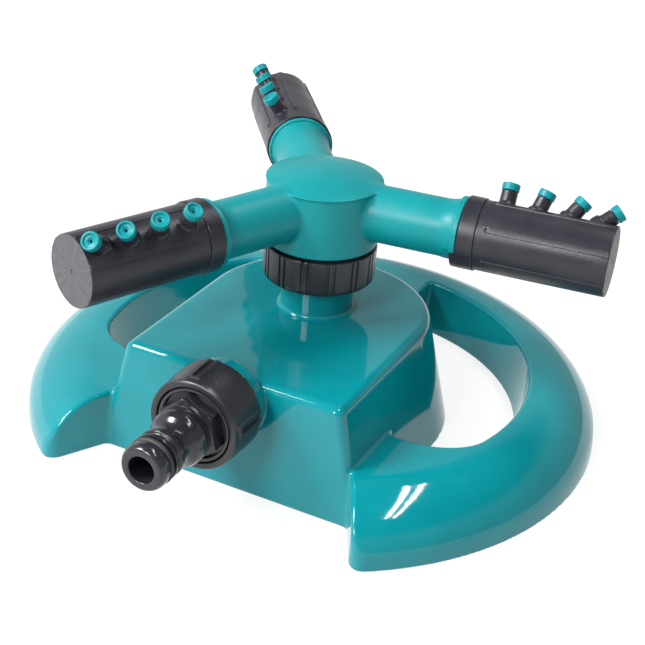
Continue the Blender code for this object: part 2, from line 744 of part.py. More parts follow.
def spray_head(arm_index):
    """One head with its four spouts, and the tab that limits its twist."""
    tag = "%d" % (arm_index + 1)
    axis = arm_axis("head_axis_" + tag, arm_index, ROTOR)
    head = turned("spray_head_" + tag, head_profile(), axis, 20)
    tab = math.pi + HEAD_TILT
    piece = sector("tab_" + tag, tab - TAB_HALF, tab + TAB_HALF, TAB_START, HEAD_START + 0.0025,
                   TAB_INNER_R, COLLAR_R - 0.0001, axis)
    joined = [piece]
    bores = []
    for index in range(SPOUT_COUNT):
        label = "%s_%d" % (tag, index + 1)
        stem_axis, reach = spout_axis("spout_axis_" + label, index, axis)
        low = reach - 0.0022
        high = reach + SPOUT_LENGTH
        joined.append(rod("stem_" + label, SPOUT_R, low, high, stem_axis, 8))
        bores.append(rod("stem_bore_" + label, SPOUT_BORE_R, low - 0.0032, high + 0.001, stem_axis, 8))
        nozzle_cap("nozzle_cap_" + label, high + GAP, stem_axis)
    combine_all(head, joined, "UNION", "stems_" + tag)
    combine_all(head, bores, "DIFFERENCE", "stem_bores_" + tag)
    finish_material(head, BLACK, 0.4, 0.0)
    seal_axis = arm_axis("seal_axis_" + tag, arm_index, ROTOR)
    o_ring("head_seal_" + tag, SPIGOT_R - SEAL_THICK_R, SEAL_THICK_R, SEAL_PLACE, seal_axis, 20)


def nozzle_cap(name, base, axis):
    """A nozzle cap whose plug sits in the spout and whose face has one fine hole."""
    plug = SPOUT_BORE_R - GAP
    top = base + CAP_H
    dish = top - 0.0007
    profile = [(CAP_HOLE_R, dish), (0.0021, dish), (0.0025, top), (CAP_R - 0.0002, top)]
    profile += [(CAP_R, top - 0.0003), (CAP_R, base), (plug, base), (plug, base - CAP_PLUG)]
    profile += [(CAP_HOLE_R, base - CAP_PLUG)]
    cap = turned(name, profile, axis, 8)
    finish_material(cap, TEAL, 0.3, 0.0)


clear_scene()
PARTS = new_collection("sprinkler")
HELPERS = new_collection("cutters")
BASE = pivot("base_centre", (0.0, ROTOR_Y, 0.0))
RING = pivot("ring_centre", (0.0, RING_BACK, 0.0), BASE)
INLET = pivot("inlet_axis", (0.0, 0.0, INLET_Z), BASE, Matrix.Rotation(math.pi / 2, 3, "X"))
UNION = pivot("union_nut_axis", (0.0, 0.0, INLET_Z), BASE, Matrix.Rotation(math.pi / 2, 3, "X"))
ROTOR = pivot("rotor_axis", (0.0, 0.0, 0.0), BASE)

base_shell()
feed_elbow()
plate_screws()
feed_seals()
union_nut()
hose_adapter()
inlet_seals()
riser_spigot()
rotor_washers()
rotor_nut()
rotor_hub()
for arm in range(ARM_COUNT):
    spray_head(arm)
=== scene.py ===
"""Looks for the three-arm rotary lawn sprinkler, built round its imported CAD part.

Shapes are worked out in millimetres about the rotor axis (x right, y away from the
hose inlet, z up) and moved into the part's own frame, in metres, when a piece is made.
"""
import json
import math

import bpy
import numpy as np
from mathutils import Matrix, Vector

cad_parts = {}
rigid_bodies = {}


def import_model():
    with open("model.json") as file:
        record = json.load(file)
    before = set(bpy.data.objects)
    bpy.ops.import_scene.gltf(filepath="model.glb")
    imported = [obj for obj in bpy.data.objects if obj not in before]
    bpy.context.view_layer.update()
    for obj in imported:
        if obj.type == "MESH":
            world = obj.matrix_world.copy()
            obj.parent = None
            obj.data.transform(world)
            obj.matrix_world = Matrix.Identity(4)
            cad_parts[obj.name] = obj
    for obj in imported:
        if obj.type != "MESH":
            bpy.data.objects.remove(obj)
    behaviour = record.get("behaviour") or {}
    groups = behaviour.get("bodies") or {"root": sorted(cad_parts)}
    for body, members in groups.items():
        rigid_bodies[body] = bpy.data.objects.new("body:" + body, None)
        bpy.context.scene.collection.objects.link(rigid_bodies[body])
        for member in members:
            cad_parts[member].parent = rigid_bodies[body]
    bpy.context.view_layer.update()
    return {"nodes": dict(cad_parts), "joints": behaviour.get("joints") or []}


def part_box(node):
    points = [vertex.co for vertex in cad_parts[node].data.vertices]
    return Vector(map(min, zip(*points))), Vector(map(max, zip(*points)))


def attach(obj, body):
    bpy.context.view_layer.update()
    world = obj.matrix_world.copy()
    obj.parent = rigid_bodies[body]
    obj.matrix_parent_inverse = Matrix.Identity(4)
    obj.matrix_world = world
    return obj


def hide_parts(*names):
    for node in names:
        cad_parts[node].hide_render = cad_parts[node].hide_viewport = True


for start_up in list(bpy.data.objects):
    bpy.data.objects.remove(start_up, do_unlink=True)
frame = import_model()

MM = 0.001
JOINTS = {joint["name"]: joint for joint in frame["joints"]}
SPIN = JOINTS["rotor_spin"]["pos_m"]
ROTOR_Y = SPIN[1] / MM
ARM_Z = SPIN[2] / MM
INLET_Z = JOINTS["union_nut_turn"]["pos_m"][2] / MM
TWISTS = [JOINTS["head_%d_twist" % i]["axis"] for i in (1, 2, 3)]
BEARINGS = [math.atan2(axis[1], axis[0]) for axis in TWISTS]
NOSE_TIP = ROTOR_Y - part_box("hose_adapter")[0].y / MM
RING_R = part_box("base_shell")[1].x / MM
HEAD_TILT = math.radians(-34.0)

# Base sizes in millimetres; the ring's centre lies a little behind the rotor axis
RING_BACK = 3.4
RING_H = 22.7
CREST_R = 89.0
RIM_R = 86.2
INNER_R = 82.5
WALL = 2.4
HOUSING_H = 46.1
HOUSING_TOP = (44.7, 67.6)
HOUSING_FOOT = (56.0, 69.4)
OPENING_FRONT = -36.8
OPENING_WALL = 47.7
WEB_HALF = 13.5
GAP_BACK = 57.0
FOOT_START = (51.2, 69.0)
FOOT_SLOPE = math.radians(27.8)
POST_R = 14.2
POST_TOP = 59.1
POST_ROOT = 4.0

# Bores down through the post: radius, and depth below the housing's top
SPIGOT_BORE = (9.3, 0.3)
WATER_BORE = (6.0, 13.3)

# Round the inlet and the feed pipe: radius, then the far and near ends in front of the rotor
PIPE_Z = 30.8
COLLAR = (15.3, 72.8, 67.9)
STUB = (13.0, 84.3, 68.3)
SOCKET = (11.3, 68.7, 55.7)
SEAT = (8.8, 64.2, 47.7)
PORT = (6.0, 71.2, 57.7)
MOUTH_R = 9.8
MOUTH_NEAR = 69.9

# Fillets of the base
FOOT_CORNER = 6.5
SOFT_EDGE = 1.6
OPENING_EDGE = 1.3
CRISP_EDGE = 0.6
INSIDE_EDGE = 0.5


# Distance-field helpers: negative inside, arrays of any one shape

def hypot(*parts):
    """Length of a vector given by its parts."""
    total = 0.0
    for part in parts:
        total = total + part * part
    return np.sqrt(total)


def join(a, b, radius):
    """Union of two solids with a round fillet between them."""
    blend = hypot(np.maximum(radius - a, 0.0), np.maximum(radius - b, 0.0))
    return np.maximum(np.minimum(a, b), radius) - blend


def common(a, b, radius):
    """Intersection of two solids with a rounded edge."""
    blend = hypot(np.maximum(radius + a, 0.0), np.maximum(radius + b, 0.0))
    return np.minimum(np.maximum(a, b), -radius) + blend


def cut(a, b, radius):
    """First solid less the second, with a rounded rim."""
    return common(a, -b, radius)


def dome(rho, z):
    """The ring as a solid: flat in the middle, a quarter ellipse outside."""
    wide = RING_R - CREST_R
    out = np.maximum(rho - CREST_R, 0.0)
    up = np.maximum(z, 0.0)
    size = np.maximum(hypot(out / wide, up / RING_H), 0.05)
    slope = np.maximum(hypot(out / wide ** 2, up / RING_H ** 2) / size, 0.01)
    return (size - 1.0) / slope


def gap_between_feet(x, y):
    """Plan of the gap in front of the housing, between the two feet."""
    side = (np.abs(x) - FOOT_START[0]) * math.cos(FOOT_SLOPE)
    side = side + (y + FOOT_START[1]) * math.sin(FOOT_SLOPE)
    return np.maximum(side, y + GAP_BACK)


def side_opening(x, y, z, ring_rho):
    """The opening between the housing and the ring, on both sides at once."""
    ring = ring_rho - (INNER_R + (RIM_R - INNER_R) * z / RING_H)
    side = np.where(y > 0.0, hypot(x, y), np.abs(x))
    plan = common(ring, OPENING_FRONT - y, 15.0)
    plan = common(plan, OPENING_WALL - side, 7.0)
    return common(plan, WEB_HALF - np.abs(x), 2.5)


def housing(x, y, z, rho):
    """The drafted housing with its half-round back and soft top edge."""
    rise = z / HOUSING_H
    half = HOUSING_FOOT[0] + (HOUSING_TOP[0] - HOUSING_FOOT[0]) * rise
    front = HOUSING_FOOT[1] + (HOUSING_TOP[1] - HOUSING_FOOT[1]) * rise
    side = np.where(y > 0.0, rho, np.abs(x)) - half
    walls = common(side, -y - front, 3.5) * 0.989
    return common(walls, z - HOUSING_H, 3.0)


def between(y, far, near):
    """A slab between two distances in front of the rotor axis."""
    return np.maximum(-y - far, y + near)


def pipe(x, z, height, radius):
    """A cylinder along Y at a height."""
    return hypot(x, z - height) - radius


def bore(rho, z, size):
    """An upright hole from a depth below the housing's top."""
    return np.maximum(rho - size[0], HOUSING_H - size[1] - z)


def base_field(points):
    """The whole base moulding."""
    x, y, z = points
    rho = hypot(x, y)
    ring_rho = hypot(x, y - RING_BACK)
    opening = side_opening(x, y, z, ring_rho)
    gap = gap_between_feet(x, y)
    ring = dome(ring_rho, z)
    block = housing(x, y, z, rho)

    outside = common(ring, common(ring_rho - RING_R, -gap, FOOT_CORNER), SOFT_EDGE)
    outside = cut(outside, opening, OPENING_EDGE)
    outside = join(outside, block, SOFT_EDGE)
    post = np.maximum(rho - POST_R, HOUSING_H - POST_ROOT - z)
    outside = join(outside, common(post, z - POST_TOP, CRISP_EDGE), SOFT_EDGE)
    radius, far, near = COLLAR
    collar = common(pipe(x, z, INLET_Z, radius), between(y, far, near), CRISP_EDGE)
    outside = join(outside, collar, 0.9)
    radius, far, near = STUB
    stub = np.maximum(pipe(x, z, INLET_Z, radius), between(y, far, near))
    outside = np.minimum(outside, stub)

    hollow = cut(ring + WALL, gap - WALL, INSIDE_EDGE)
    hollow = cut(hollow, opening - WALL, INSIDE_EDGE)
    hollow = join(hollow, block + WALL, 0.8)
    radius, far, near = SOCKET
    socket = np.maximum(pipe(x, z, PIPE_Z, radius), between(y, far, near))
    hollow = cut(hollow, socket, 0.4)
    solid = cut(outside, hollow, 0.4)

    bores = np.minimum(bore(rho, z, SPIGOT_BORE), bore(rho, z, WATER_BORE))
    bores = np.minimum(bores, np.maximum(pipe(x, z, INLET_Z, MOUTH_R), y + MOUTH_NEAR))
    for radius, far, near in (SEAT, PORT):
        passage = np.maximum(pipe(x, z, PIPE_Z, radius), between(y, far, near))
        bores = np.minimum(bores, passage)
    solid = cut(solid, bores, 0.3)
    return common(solid, -z, INSIDE_EDGE)


# Rotor hub sizes in millimetres; arms are measured out from the rotor axis
HUB_R = 22.1
HUB_FOOT = 75.3
RIM_Z = 99.6
FLARE = 0.5
FLARE_START = 1.8
FLARE_LENGTH = 1.9
CROWN = 3.8
CROWN_R = 22.6
SKIRT_R = 18.1
SKIRT_DROP = 11.1
SKIRT_LAP = 8.0
SKIRT_BORE_R = 15.4
SKIRT_BORE_TOP = 6.1
RISER_BORE_R = 7.9
ARM_R = 10.9
ARM_END = 54.3
ARM_TAPER = 0.9
TAPER_START = 47.3
TAPER_LENGTH = 5.2
ARM_BORE_R = 6.2
ARM_BORE_ENDS = (2.0, 76.5)
FLANGE_R = 13.0
FLANGE_MIDDLE = 54.4
FLANGE_HALF = 1.1
SPIGOT_R = 9.4
SPIGOT_ENDS = (42.0, 73.5)
GROOVE_R = 7.8
GROOVE_MIDDLE = 68.2
GROOVE_HALF = 1.3
NOTCH_R = 11.2
NOTCH_ENDS = (50.8, 56.8)
NOTCH_MIDDLE = 197.0
NOTCH_HALF = 54.5


def arm_along(x, y, bearing):
    """Distance out along an arm, and sideways from its centre line."""
    c = math.cos(bearing)
    s = math.sin(bearing)
    return x * c + y * s, y * c - x * s


def hub_field(points):
    """The rotor hub with its three arms, flanges and spigots."""
    x, y, z = points
    rho = hypot(x, y)
    flare = np.clip((z - RIM_Z + FLARE_START) / FLARE_LENGTH, 0.0, 1.0)
    body = rho - (HUB_R + FLARE * flare * flare)
    crown = (z - (RIM_Z + CROWN * (1.0 - (rho / CROWN_R) ** 2))) * 0.97
    hub = common(common(body, crown, 0.35), HUB_FOOT - z, 0.3)
    lap = np.maximum(HUB_FOOT - SKIRT_DROP - z, z - HUB_FOOT - SKIRT_LAP)
    hub = np.minimum(hub, np.maximum(rho - SKIRT_R, lap))
    hollow = np.maximum(rho - SKIRT_BORE_R, z - HUB_FOOT + SKIRT_BORE_TOP)
    hollow = np.minimum(hollow, np.maximum(rho - RISER_BORE_R, z - ARM_Z - 5.0))
    for bearing in BEARINGS:
        s, t = arm_along(x, y, bearing)
        r = hypot(t, z - ARM_Z)
        taper = ARM_TAPER * np.clip((s - TAPER_START) / TAPER_LENGTH, 0.0, 1.0) ** 2
        tube = np.maximum(r - ARM_R - taper, np.maximum(s - ARM_END, -s))
        hub = join(hub, np.maximum(tube, 4.0 - s), 1.1)
        flange = common(r - FLANGE_R, np.abs(s - FLANGE_MIDDLE) - FLANGE_HALF, 0.25)
        hub = join(hub, np.maximum(flange, -s), 0.35)
        spigot = np.maximum(r - SPIGOT_R, np.maximum(s - SPIGOT_ENDS[1], SPIGOT_ENDS[0] - s))
        groove = np.maximum(GROOVE_R - r, np.abs(s - GROOVE_MIDDLE) - GROOVE_HALF)
        hub = np.minimum(hub, np.maximum(spigot, -groove))
        turn = np.degrees(np.arctan2(t, z - ARM_Z)) % 360.0
        notch = np.maximum(NOTCH_R - r, np.maximum(NOTCH_ENDS[0] - s, s - NOTCH_ENDS[1]))
        notch = np.maximum(notch, (np.abs(turn - NOTCH_MIDDLE) - NOTCH_HALF) * 0.2)
        hub = np.maximum(hub, -notch)
        ends = np.maximum(ARM_BORE_ENDS[0] - s, s - ARM_BORE_ENDS[1])
        bored = np.maximum(r - ARM_BORE_R, ends)
        hollow = np.minimum(hollow, bored)
    return cut(hub, hollow, 0.25)


def slopes(field, points, reach):
    """Gradient of a field by central differences."""
    found = []
    for axis in range(3):
        step = np.zeros((3, 1))
        step[axis] = reach
        found.append((field(points + step) - field(points - step)) / (2.0 * reach))
    return np.array(found)


def settle(field, points, limit, rounds):
    """Walk points onto a field's surface, never further than the limit in one step."""
    for _ in range(rounds):
        slope = slopes(field, points, 0.02)
        size = np.maximum((slope * slope).sum(0), 0.1)
        step = np.clip(field(points) / size, -limit, limit)
        points = points - slope * step
    return points


def sample(field, low, high, step):
    """A field's values on a grid, worked out in layers."""
    axes = [np.arange(a, b + step, step) for a, b in zip(low, high)]
    x, y = np.meshgrid(axes[0], axes[1], indexing="ij")
    layers = [field((x, y, np.full_like(x, z))) for z in axes[2]]
    return np.stack(layers, 2).astype(np.float32)


def skin(values, low, step):
    """Quads over a sampled field's zero level, one point for each crossed cell."""
    inside = values < 0.0
    cells = [n - 1 for n in values.shape]
    filled = np.zeros(cells, np.uint8)
    for i in (0, 1):
        for j in (0, 1):
            for k in (0, 1):
                filled += inside[i:cells[0] + i, j:cells[1] + j, k:cells[2] + k]
    active = (filled > 0) & (filled < 8)
    index = np.full(cells, -1, np.int32)
    corner = np.argwhere(active)
    index[active] = np.arange(len(corner))
    total = np.zeros((len(corner), 3))
    count = np.zeros(len(corner))
    for axis in range(3):
        u = (axis + 1) % 3
        v = (axis + 2) % 3
        for i in (0, 1):
            for j in (0, 1):
                start = corner.copy()
                start[:, u] += i
                start[:, v] += j
                end = start.copy()
                end[:, axis] += 1
                a = values[tuple(start.T)].astype(float)
                b = values[tuple(end.T)].astype(float)
                crossed = (a < 0.0) != (b < 0.0)
                share = np.where(crossed, a / np.where(crossed, a - b, 1.0), 0.0)
                point = start.astype(float)
                point[:, axis] += share
                total[crossed] += point[crossed]
                count[crossed] += 1
    points = np.array(low)[:, None] + step * (total / count[:, None]).T
    faces = []
    for axis in range(3):
        u = (axis + 1) % 3
        v = (axis + 2) % 3
        first = np.take(inside, range(values.shape[axis] - 1), axis)
        last = np.take(inside, range(1, values.shape[axis]), axis)
        edges = np.argwhere(first != last)
        edges = edges[(edges[:, u] > 0) & (edges[:, v] > 0)]
        edges = edges[(edges[:, u] < cells[u]) & (edges[:, v] < cells[v])]
        corners = []
        for i, j in ((1, 1), (0, 1), (0, 0), (1, 0)):
            cell = edges.copy()
            cell[:, u] -= i
            cell[:, v] -= j
            corners.append(index[tuple(cell.T)])
        quads = np.stack(corners, 1)
        outward = inside[tuple(edges.T)]
        quads[~outward] = quads[~outward][:, ::-1]
        faces.append(quads)
    return points, np.concatenate(faces)


# Mesh helpers

def to_frame(points):
    """Millimetres about the rotor axis to metres in the part's frame."""
    moved = np.array(points, float).reshape(3, -1).T.copy()
    moved[:, 1] += ROTOR_Y
    return moved * MM


def new_mesh(name, points, faces):
    """A mesh from an array of points and a list of faces, all shaded smooth."""
    mesh = bpy.data.meshes.new(name)
    mesh.from_pydata(points.tolist(), [], [list(map(int, face)) for face in faces])
    mesh.polygons.foreach_set("use_smooth", np.ones(len(mesh.polygons), bool))
    mesh.update()
    return mesh


def add_piece(name, mesh, material, body, nodes):
    """Put a mesh in the scene as a piece that stands for CAD nodes."""
    piece = bpy.data.objects.new(name, mesh)
    bpy.context.scene.collection.objects.link(piece)
    mesh.materials.append(material)
    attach(piece, body)
    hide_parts(*nodes)
    return piece


def moulded(name, field, low, high, step, keep, material, body, nodes):
    """A moulded piece from its distance field, thinned and with exact normals."""
    points, quads = skin(sample(field, low, high, step), low, step)
    points = settle(field, points, step * 0.5, 3)
    rough = new_mesh(name + "_rough", to_frame(points), quads)
    holder = bpy.data.objects.new(name + "_rough", rough)
    bpy.context.scene.collection.objects.link(holder)
    thin = holder.modifiers.new("thin", "DECIMATE")
    thin.ratio = keep
    graph = bpy.context.evaluated_depsgraph_get()
    mesh = bpy.data.meshes.new_from_object(holder.evaluated_get(graph))
    bpy.data.objects.remove(holder)
    mesh.name = name
    count = len(mesh.vertices)
    flat = np.zeros(count * 3, np.float32)
    mesh.vertices.foreach_get("co", flat)
    points = flat.reshape(-1, 3).astype(float).T / MM
    points[1] -= ROTOR_Y
    points = settle(field, points, step * 0.3, 4)
    normals = slopes(field, points, 0.06)
    normals = (normals / np.maximum(hypot(*normals), 1e-9)).T
    mesh.vertices.foreach_set("co", to_frame(points).astype(np.float32).ravel())
    mesh.polygons.foreach_set("use_smooth", np.ones(len(mesh.polygons), bool))
    mesh.update()
    mesh.normals_split_custom_set_from_vertices(normals.tolist())
    add_piece(name, mesh, material, body, nodes)


def softened(profile, radii, steps):
    """Round a closed profile's corners, each with its own radius."""
    out = []
    for i, radius in enumerate(radii):
        here = Vector(profile[i])
        back = Vector(profile[i - 1]) - here
        ahead = Vector(profile[(i + 1) % len(profile)]) - here
        reach = min(radius, 0.45 * back.length, 0.45 * ahead.length)
        start = here + back.normalized() * reach
        end = here + ahead.normalized() * reach
        for k in range(steps + 1):
            t = k / steps
            out.append(tuple(start * (1 - t) ** 2 + here * 2 * t * (1 - t) + end * t * t))
    return out


def lathe(profile, turns, shape=None):
    """Turn a closed profile of (radius, height); the profile runs counter-clockwise.

    Where it starts and ends on the axis the ends become single points.
    """
    profile = np.array(profile, float)
    on_axis = profile[0][0] < 1e-9 and profile[-1][0] < 1e-9
    middle = profile[1:-1] if on_axis else profile
    turn = np.array(turns)[:, None]
    r = np.broadcast_to(middle[:, 0], (len(turn), len(middle)))
    h = np.broadcast_to(middle[:, 1], r.shape)
    if shape is not None:
        r, h = shape(np.broadcast_to(turn, r.shape), r, h)
    points = np.stack([r * np.cos(turn), r * np.sin(turn), h], 2).reshape(-1, 3)
    count = len(middle)
    faces = []
    for i in range(len(turn)):
        here = i * count
        there = ((i + 1) % len(turn)) * count
        last = count - 1 if on_axis else count
        for j in range(last):
            k = (j + 1) % count
            faces.append((here + j, there + j, there + k, here + k))
    if on_axis:
        low = len(points)
        points = np.vstack([points, [0.0, 0.0, profile[0][1]], [0.0, 0.0, profile[-1][1]]])
        for i in range(len(turn)):
            here = i * count
            there = ((i + 1) % len(turn)) * count
            faces.append((low, there, here))
            faces.append((low + 1, here + count - 1, there + count - 1))
    return points, faces


def turned_by(points, matrix):
    """Lathe points (height along Z) laid along another axis."""
    whole = np.array(matrix, float)
    return whole[:3, :3] @ points.T + whole[:3, 3:4]


def even_turns(count):
    """Evenly spaced angles over a full turn."""
    return [math.tau * i / count for i in range(count)]


def turns_with(marks, fill):
    """Angles over a full turn with the marks in and no gap wider than fill."""
    marks = sorted(mark % math.tau for mark in marks)
    out = []
    for i, mark in enumerate(marks):
        gap = (marks[(i + 1) % len(marks)] - mark) % math.tau
        parts = math.ceil(gap / fill)
        out += [mark + gap * k / parts for k in range(parts)]
    return out


def off_mark(turn, mark):
    """Signed angle from a mark, within half a turn."""
    return (turn - mark + math.pi) % math.tau - math.pi


def with_axes(first, second, third, origin=(0.0, 0.0, 0.0)):
    """A matrix with these local axes and this origin."""
    return Matrix([*zip(first, second, third, origin), (0.0, 0.0, 0.0, 1.0)])


def combined(parts):
    """Several (points, faces) shells as one."""
    points = []
    faces = []
    base = 0
    for part_points, part_faces in parts:
        points.append(part_points)
        faces += [tuple(i + base for i in face) for face in part_faces]
        base += part_points.shape[1]
    return np.hstack(points), faces


def solid_piece(name, points, faces, material, body, nodes, crease=40.0):
    """A piece from lathe work, crisp at hard edges and smooth elsewhere."""
    mesh = new_mesh(name, to_frame(points), faces)
    mesh.set_sharp_from_angle(angle=math.radians(crease))
    piece = add_piece(name, mesh, material, body, nodes)
    weigh = piece.modifiers.new("weigh", "WEIGHTED_NORMAL")
    weigh.keep_sharp = True
    return piece


# Materials

def node_material(name):
    """A new node material and its Principled shader."""
    material = bpy.data.materials.new(name)
    material.use_nodes = True
    return material, material.node_tree.nodes["Principled BSDF"]


def add_node(material, kind, **values):
    """A node with some of its inputs set."""
    node = material.node_tree.nodes.new(kind)
    for key, value in values.items():
        node.inputs[key.replace("_", " ")].default_value = value
    return node


def wire(material, out_socket, in_socket):
    """Link two sockets."""
    material.node_tree.links.new(out_socket, in_socket)


def place_of(material):
    """Object coordinates."""
    return add_node(material, "ShaderNodeTexCoord").outputs["Object"]


def noise(material, scale, detail=3.0):
    """Noise in object coordinates."""
    node = add_node(material, "ShaderNodeTexNoise", Scale=scale, Detail=detail, Roughness=0.55)
    wire(material, place_of(material), node.inputs["Vector"])
    return node.outputs["Fac"]


def ramp(material, value, low, high, start, end):
    """Map a value's range onto another."""
    node = add_node(material, "ShaderNodeMapRange",
                    From_Min=low, From_Max=high, To_Min=start, To_Max=end)
    wire(material, value, node.inputs["Value"])
    return node.outputs["Result"]


def uneven(material, scale, detail, start, end):
    """A value that wanders between two levels over the surface."""
    return ramp(material, noise(material, scale, detail), 0.3, 0.7, start, end)


def two_tone(material, factor, first, second):
    """Mix two colours."""
    node = material.node_tree.nodes.new("ShaderNodeMix")
    node.data_type = "RGBA"
    node.inputs["A"].default_value = (*first, 1.0)
    node.inputs["B"].default_value = (*second, 1.0)
    wire(material, factor, node.inputs["Factor"])
    return node.outputs["Result"]


def bump(material, shader, height, strength, distance):
    """Raise a shader's surface by a height."""
    node = add_node(material, "ShaderNodeBump", Strength=strength, Distance=distance)
    wire(material, height, node.inputs["Height"])
    wire(material, node.outputs["Normal"], shader.inputs["Normal"])


def plastic(name, dark, light, rough, grain, depth, gloss=0.5):
    """Moulded plastic: cloudy colour, uneven gloss and a fine surface."""
    material, shader = node_material(name)
    cloud = ramp(material, noise(material, 38.0), 0.35, 0.65, 0.0, 1.0)
    wire(material, two_tone(material, cloud, dark, light), shader.inputs["Base Color"])
    wire(material, uneven(material, 90.0, 5.0, *rough), shader.inputs["Roughness"])
    bump(material, shader, noise(material, grain, 2.0), 0.35, depth)
    shader.inputs["Specular IOR Level"].default_value = gloss
    return material


TEAL = plastic("teal_gloss", (0.001, 0.164, 0.190), (0.002, 0.186, 0.212),
               rough=(0.03, 0.07), grain=900.0, depth=0.00002, gloss=0.40)
HUB_TEAL = plastic("teal_satin", (0.001, 0.172, 0.186), (0.002, 0.196, 0.210),
                   rough=(0.34, 0.44), grain=700.0, depth=0.00006, gloss=0.24)
CAP_TEAL = plastic("teal_cap", (0.001, 0.165, 0.186), (0.003, 0.195, 0.214),
                   rough=(0.32, 0.42), grain=1500.0, depth=0.00003, gloss=0.20)
BLACK = plastic("black_satin", (0.011, 0.011, 0.016), (0.021, 0.021, 0.028),
                rough=(0.28, 0.40), grain=1400.0, depth=0.00012, gloss=0.34)
NUT_BLACK = plastic("black_grained", (0.009, 0.009, 0.012), (0.016, 0.016, 0.021),
                    rough=(0.26, 0.38), grain=1800.0, depth=0.00012)
NOSE_BLACK = plastic("black_gloss", (0.010, 0.010, 0.014), (0.018, 0.018, 0.024),
                     rough=(0.14, 0.24), grain=1100.0, depth=0.00004)
PIPE_BLACK = plastic("black_plain", (0.020, 0.020, 0.023), (0.030, 0.030, 0.034),
                     rough=(0.40, 0.52), grain=1200.0, depth=0.00006)
SEAL = plastic("rubber_seal", (0.010, 0.010, 0.010), (0.020, 0.020, 0.020),
               rough=(0.52, 0.68), grain=2200.0, depth=0.00004)
NATURAL = plastic("acetal", (0.66, 0.64, 0.57), (0.74, 0.72, 0.66),
                  rough=(0.32, 0.44), grain=1300.0, depth=0.00003)


def end_face_plastic(bearing):
    """A head's end face: matt, with pale marks that run out from the gate in its middle."""
    material, shader = node_material("black_end_face")
    laid = add_node(material, "ShaderNodeMapping")
    laid.inputs["Rotation"].default_value = (0.0, 0.0, -bearing)
    back = ROTOR_Y * MM
    to_axis = (-back * math.sin(bearing), -back * math.cos(bearing), -ARM_Z * MM)
    laid.inputs["Location"].default_value = to_axis
    wire(material, place_of(material), laid.inputs["Vector"])
    split = add_node(material, "ShaderNodeSeparateXYZ")
    wire(material, laid.outputs["Vector"], split.inputs["Vector"])
    angle = add_node(material, "ShaderNodeMath")
    angle.operation = "ARCTAN2"
    wire(material, split.outputs["Y"], angle.inputs[0])
    wire(material, split.outputs["Z"], angle.inputs[1])
    ray = add_node(material, "ShaderNodeCombineXYZ")
    wire(material, angle.outputs["Value"], ray.inputs["X"])
    streaks = add_node(material, "ShaderNodeTexNoise", Scale=5.0, Detail=5.0, Roughness=0.7)
    wire(material, ray.outputs["Vector"], streaks.inputs["Vector"])
    tone = ramp(material, streaks.outputs["Fac"], 0.35, 0.70, 0.0, 1.0)
    shade = two_tone(material, tone, (0.036, 0.036, 0.042), (0.078, 0.078, 0.085))
    wire(material, shade, shader.inputs["Base Color"])
    wire(material, uneven(material, 300.0, 4.0, 0.42, 0.58), shader.inputs["Roughness"])
    bump(material, shader, noise(material, 700.0, 3.0), 0.4, 0.00008)
    return material


def screw_steel():
    """Zinc-plated steel with fine wear."""
    material, shader = node_material("zinc_steel")
    cloud = uneven(material, 300.0, 4.0, 0.0, 1.0)
    shade = two_tone(material, cloud, (0.50, 0.50, 0.52), (0.62, 0.62, 0.62))
    wire(material, shade, shader.inputs["Base Color"])
    wire(material, uneven(material, 900.0, 4.0, 0.25, 0.42), shader.inputs["Roughness"])
    shader.inputs["Metallic"].default_value = 1.0
    return material


STEEL = screw_steel()


def cad_finish(node_name):
    """The material of a CAD node that is shown as it is."""
    if "seal" in node_name or node_name in ("nose_ring", "inlet_washer"):
        return SEAL
    if node_name.startswith("plate_screw"):
        return STEEL
    if node_name == "feed_elbow":
        return PIPE_BLACK
    return NATURAL


for node_name, cad_node in frame["nodes"].items():
    cad_node.data.materials.clear()
    cad_node.data.materials.append(cad_finish(node_name))


# Base and rotor hub

BASE_STEP = 0.8
HUB_STEP = 0.5
moulded("base_moulding", base_field, (-118.0, -115.0, -2.0), (118.0, 121.0, 62.0), BASE_STEP,
        0.42, TEAL, "base", ["base_shell"])
moulded("hub_moulding", hub_field, (-64.0, -78.0, 62.0), (82.0, 76.0, 106.0), HUB_STEP,
        0.5, HUB_TEAL, "rotor", ["rotor_hub"])


# Spray heads

COLLAR_END = 62.1
COLLAR_R = 13.65
HEAD_R = 13.15
HEAD_START = 55.8
HEAD_END = 111.0
HEAD_BORE_R = 9.7
STRIP_HALF = math.radians(5.2)
STRIP_RISE = 0.32
STRIP_START = 66.2
STRIP_EDGE = 0.16
DIMPLE_R = 0.75
DIMPLE_DEPTH = 0.35
SPOUTS = 4
SPOUT_START = 68.8
SPOUT_PITCH = 12.0
SPOUT_LEAN = math.radians(15.0)
SPOUT_ROOT_R = 13.2
TAB_FROM = math.radians(110.0)
TAB_TO = math.radians(182.0)
TAB_STEPS = 24
STRIP_TURNS = [HEAD_TILT + math.radians(30.0 + 60.0 * i) for i in range(6)]


def arm_matrix(bearing):
    """Local Z along the arm and local X up; local angles turn clockwise seen from the tip."""
    out = Vector((math.cos(bearing), math.sin(bearing), 0.0))
    up = Vector((0.0, 0.0, 1.0))
    return with_axes(up, out.cross(up), out, (0.0, 0.0, ARM_Z))


